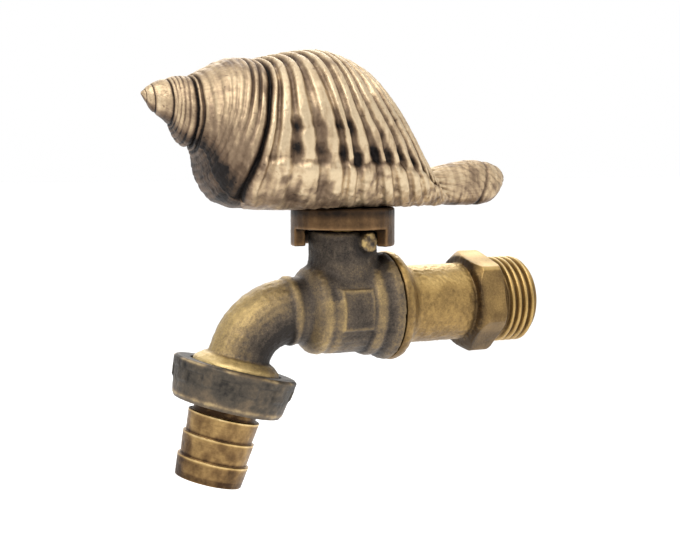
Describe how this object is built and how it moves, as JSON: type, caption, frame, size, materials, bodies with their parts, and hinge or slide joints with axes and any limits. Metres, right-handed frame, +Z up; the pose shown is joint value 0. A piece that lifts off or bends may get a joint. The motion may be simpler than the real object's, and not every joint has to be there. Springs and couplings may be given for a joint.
{
  "type": "hose bib",
  "caption": "Quarter-turn brass garden hose bib with a cast sea-shell handle, a bent spout and a barbed hose tail held by a collar nut.",
  "frame": {"origin": "centre of the inlet thread's end face, on the axis of the inlet", "axes": "+X out of the inlet towards the supply pipe, +Z up along the stem towards the handle, the spout bends down on the -X side"},
  "size_m": [0.0952, 0.0376, 0.0981],
  "materials": {
    "cast_brass_dark": "sand-cast brass with a dark brown patina, rubbed bright on its beads",
    "cast_brass_gold": "sand-cast and machined yellow brass",
    "shell_bronze": "cast bronze, pale on its ribs and near black in its grooves",
    "hub_bronze": "brown aged brass, turned",
    "nut_bronze": "dark cast brass, grey-brown patina",
    "tail_brass": "golden brown machined brass",
    "turned_brass": "clean turned brass",
    "ball_chrome": "polished chrome plate",
    "screw_steel": "zinc-plated steel",
    "seat_ptfe": "white PTFE",
    "seal_rubber": "black nitrile rubber"
  },
  "bodies": {
    "body": {"valve_body": "cast_brass_dark", "inlet_tailpiece": "cast_brass_gold", "body_joint_washer": "seat_ptfe", "inlet_seat": "seat_ptfe", "outlet_seat": "seat_ptfe", "seat_retainer": "turned_brass", "stem_thrust_washer": "seat_ptfe", "stem_packing": "seat_ptfe", "packing_nut": "turned_brass"},
    "handle": {"handle_hub": "hub_bronze", "hub_set_screw": "screw_steel", "shell_handle": "shell_bronze", "shell_screw_front": "screw_steel", "shell_screw_rear": "screw_steel", "stem": "turned_brass", "stem_o_ring_lower": "seal_rubber", "stem_o_ring_upper": "seal_rubber"},
    "ball": {"ball": "ball_chrome"},
    "collar": {"spout_nut": "nut_bronze"},
    "tail": {"hose_tail": "tail_brass", "hose_tail_washer": "seal_rubber"}
  },
  "joints": [
    {"name": "handle_turn", "type": "hinge", "parent": "body", "child": "handle", "pos_m": [-0.048, 0, 0.0187], "axis": [0, 0, 1], "range_deg": [0, 90]},
    {"name": "ball_turn", "type": "hinge", "parent": "body", "child": "ball", "pos_m": [-0.048, 0, 0], "axis": [0, 0, 1], "range_deg": [0, 90]},
    {"name": "collar_turn", "type": "hinge", "parent": "body", "child": "collar", "pos_m": [-0.07441, 0, -0.01199], "axis": [-0.2672, 0, -0.9636], "continuous": true},
    {"name": "tail_swivel", "type": "hinge", "parent": "body", "child": "tail", "pos_m": [-0.07601, 0, -0.01777], "axis": [-0.2672, 0, -0.9636], "continuous": true}
  ],
  "couplings": [
    {"joint": "ball_turn", "follows": "handle_turn", "ratio": 1}
  ]
}
